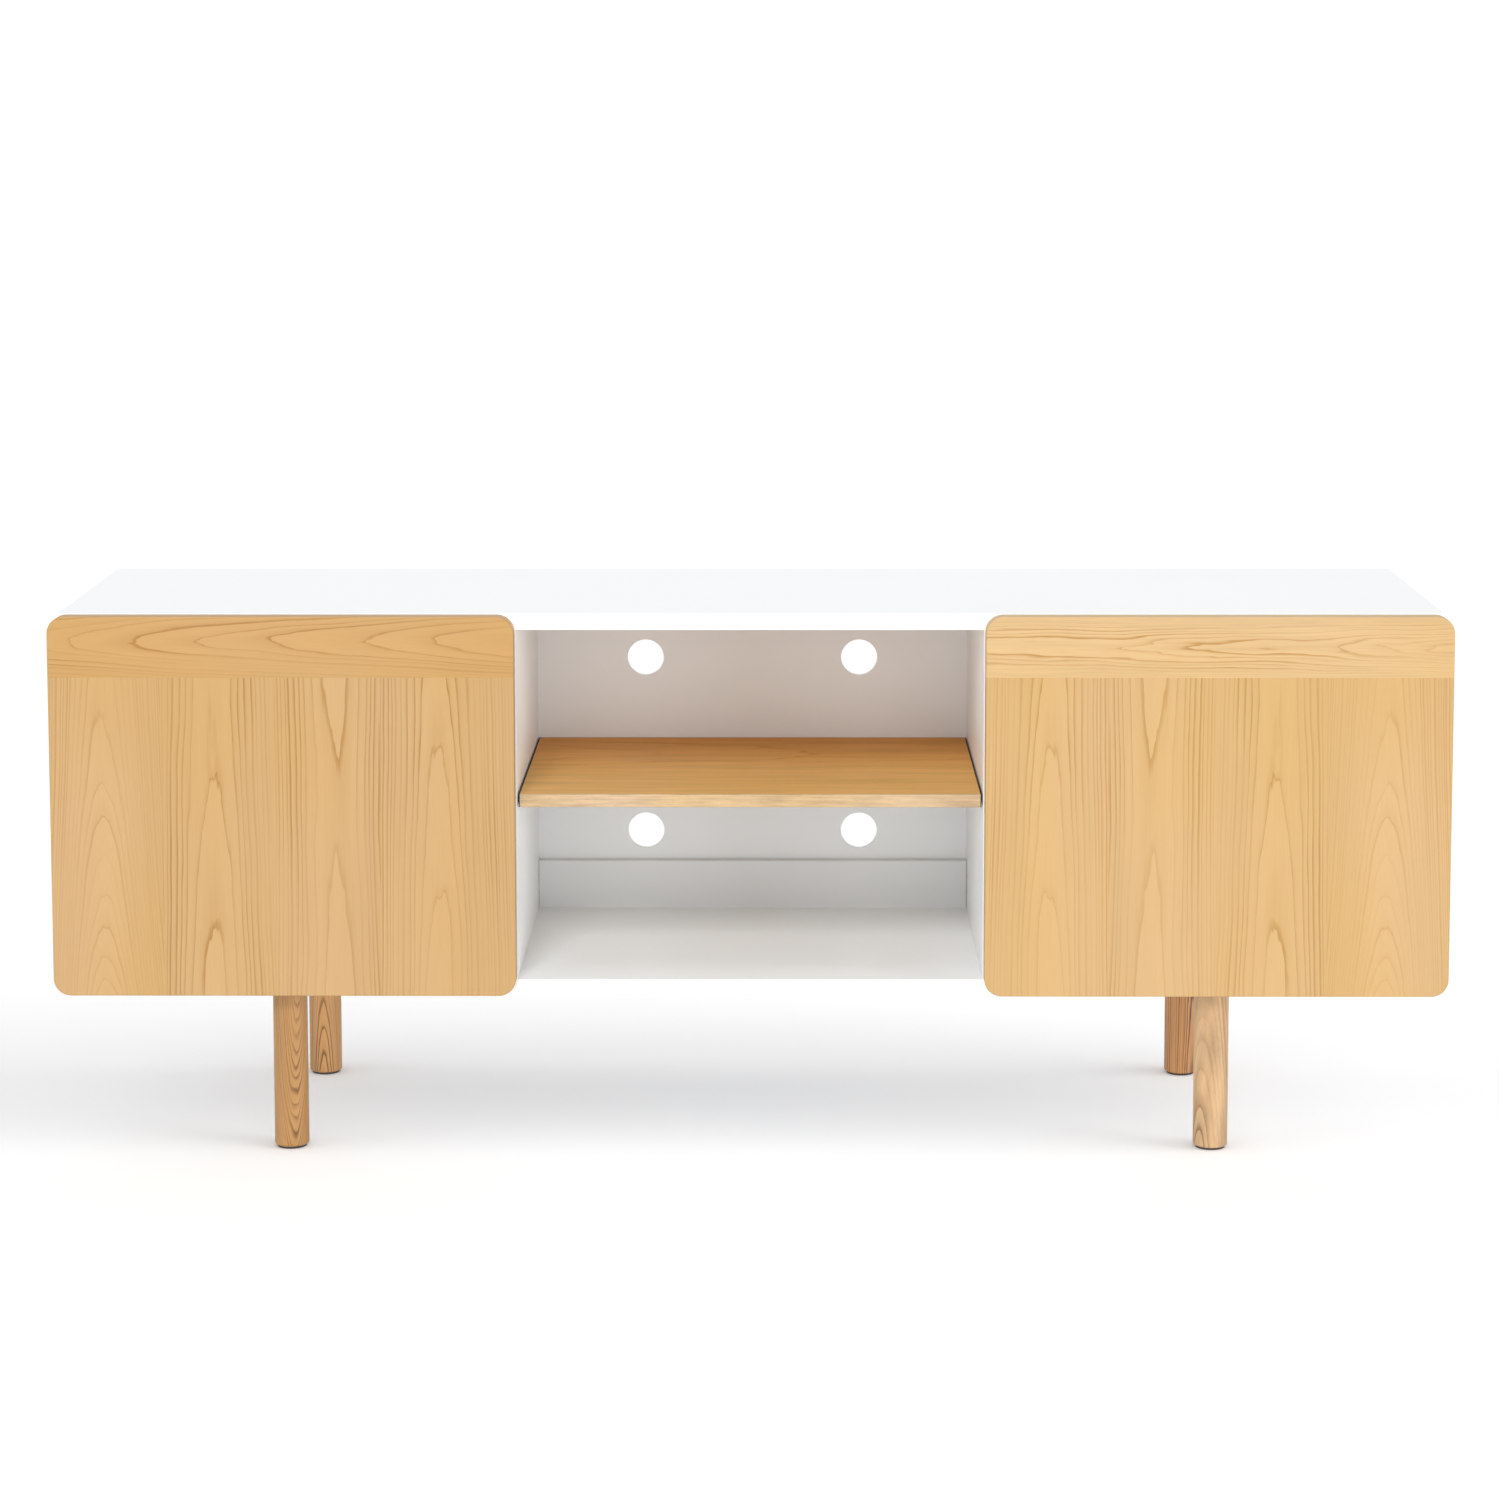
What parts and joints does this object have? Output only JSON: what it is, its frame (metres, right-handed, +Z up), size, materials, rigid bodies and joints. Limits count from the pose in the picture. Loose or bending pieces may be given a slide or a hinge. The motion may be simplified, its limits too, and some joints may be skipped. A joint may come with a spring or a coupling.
{
  "type": "media cabinet",
  "caption": "Low white cabinet on round wooden legs, with an open shelved centre bay, cable holes in its back and a handleless hinged ash door on each side.",
  "frame": {"origin": "on the floor, under the middle of the cabinet", "axes": "+X along the width, to the right seen from the front; +Y from the front to the back; +Z up"},
  "size_m": [1.6, 0.4, 0.63],
  "materials": {
    "white_lacquer": "white satin lacquer on fibreboard",
    "ash_veneer": "clear satin lacquer on upright crown-cut ash veneer",
    "ash_rail": "clear satin lacquer on ash with the grain along it",
    "ash_solid": "clear satin lacquer on solid ash",
    "beech": "plain beech",
    "zinc_steel": "bright zinc-plated steel",
    "nickel_steel": "nickel-plated pressed steel",
    "zinc_cast": "cast zinc",
    "glide_nylon": "dark moulded nylon",
    "latch_grey": "grey moulded plastic",
    "plunger_white": "white moulded plastic",
    "bumper_clear": "soft clear polyurethane"
  },
  "bodies": {
    "cabinet": {"top_panel": "white_lacquer", "bottom_panel": "white_lacquer", "left_side_panel": "white_lacquer", "right_side_panel": "white_lacquer", "left_divider": "white_lacquer", "right_divider": "white_lacquer", "back_panel": "white_lacquer", "back_panel_screws": "zinc_steel", "rear_rail": "white_lacquer", "centre_shelf": "ash_veneer", "centre_shelf_lipping": "ash_solid", "centre_shelf_pins": "zinc_steel", "left_cupboard_shelf": "white_lacquer", "right_cupboard_shelf": "white_lacquer", "cupboard_shelf_pins": "zinc_steel", "dowels": "beech", "cam_bolts": "zinc_steel", "cam_discs": "zinc_cast", "left_front_leg": "ash_solid", "left_rear_leg": "ash_solid", "right_front_leg": "ash_solid", "right_rear_leg": "ash_solid", "leg_plates": "zinc_steel", "leg_plate_screws": "zinc_steel", "leg_bolts": "zinc_steel", "foot_glides": "glide_nylon", "left_hinge_arms": "nickel_steel", "left_arm_pins": "zinc_steel", "left_hinge_plates": "nickel_steel", "left_hinge_plate_screws": "zinc_steel", "left_latch_body": "latch_grey", "left_latch_screws": "zinc_steel", "right_hinge_arms": "nickel_steel", "right_arm_pins": "zinc_steel", "right_hinge_plates": "nickel_steel", "right_hinge_plate_screws": "zinc_steel", "right_latch_body": "latch_grey", "right_latch_screws": "zinc_steel"},
    "left_hinge_link": {"left_hinge_links": "nickel_steel"},
    "left_door": {"left_door_panel": "ash_veneer", "left_door_top_rail": "ash_rail", "left_hinge_cups": "nickel_steel", "left_cup_pins": "zinc_steel", "left_cup_screws": "zinc_steel", "left_strike_disc": "zinc_steel", "left_door_bumpers": "bumper_clear"},
    "left_plunger": {"left_latch_plunger": "plunger_white"},
    "right_hinge_link": {"right_hinge_links": "nickel_steel"},
    "right_door": {"right_door_panel": "ash_veneer", "right_door_top_rail": "ash_rail", "right_hinge_cups": "nickel_steel", "right_cup_pins": "zinc_steel", "right_cup_screws": "zinc_steel", "right_strike_disc": "zinc_steel", "right_door_bumpers": "bumper_clear"},
    "right_plunger": {"right_latch_plunger": "plunger_white"}
  },
  "joints": [
    {"name": "left_door_swing", "type": "hinge", "parent": "left_hinge_link", "child": "left_door", "pos_m": [-0.7903, -0.185, 0.4], "axis": [0, 0, -1], "range_deg": [0, 114.5]},
    {"name": "left_link_swing", "type": "hinge", "parent": "cabinet", "child": "left_hinge_link", "pos_m": [-0.763, -0.1789, 0.4], "axis": [0, 0, -1], "range_deg": [-24.6, 0]},
    {"name": "left_plunger_press", "type": "slide", "parent": "cabinet", "child": "left_plunger", "axis": [0, 1, 0], "range_m": [0, 0.003], "stiffness_N_per_m": 300},
    {"name": "right_door_swing", "type": "hinge", "parent": "right_hinge_link", "child": "right_door", "pos_m": [0.7903, -0.185, 0.4], "axis": [0, 0, 1], "range_deg": [0, 114.5]},
    {"name": "right_link_swing", "type": "hinge", "parent": "cabinet", "child": "right_hinge_link", "pos_m": [0.763, -0.1789, 0.4], "axis": [0, 0, 1], "range_deg": [-24.6, 0]},
    {"name": "right_plunger_press", "type": "slide", "parent": "cabinet", "child": "right_plunger", "axis": [0, 1, 0], "range_m": [0, 0.003], "stiffness_N_per_m": 300}
  ],
  "couplings": [
    {"joint": "left_link_swing", "follows": "left_door_swing", "ratio": -0.21397},
    {"joint": "right_link_swing", "follows": "right_door_swing", "ratio": -0.21397}
  ]
}
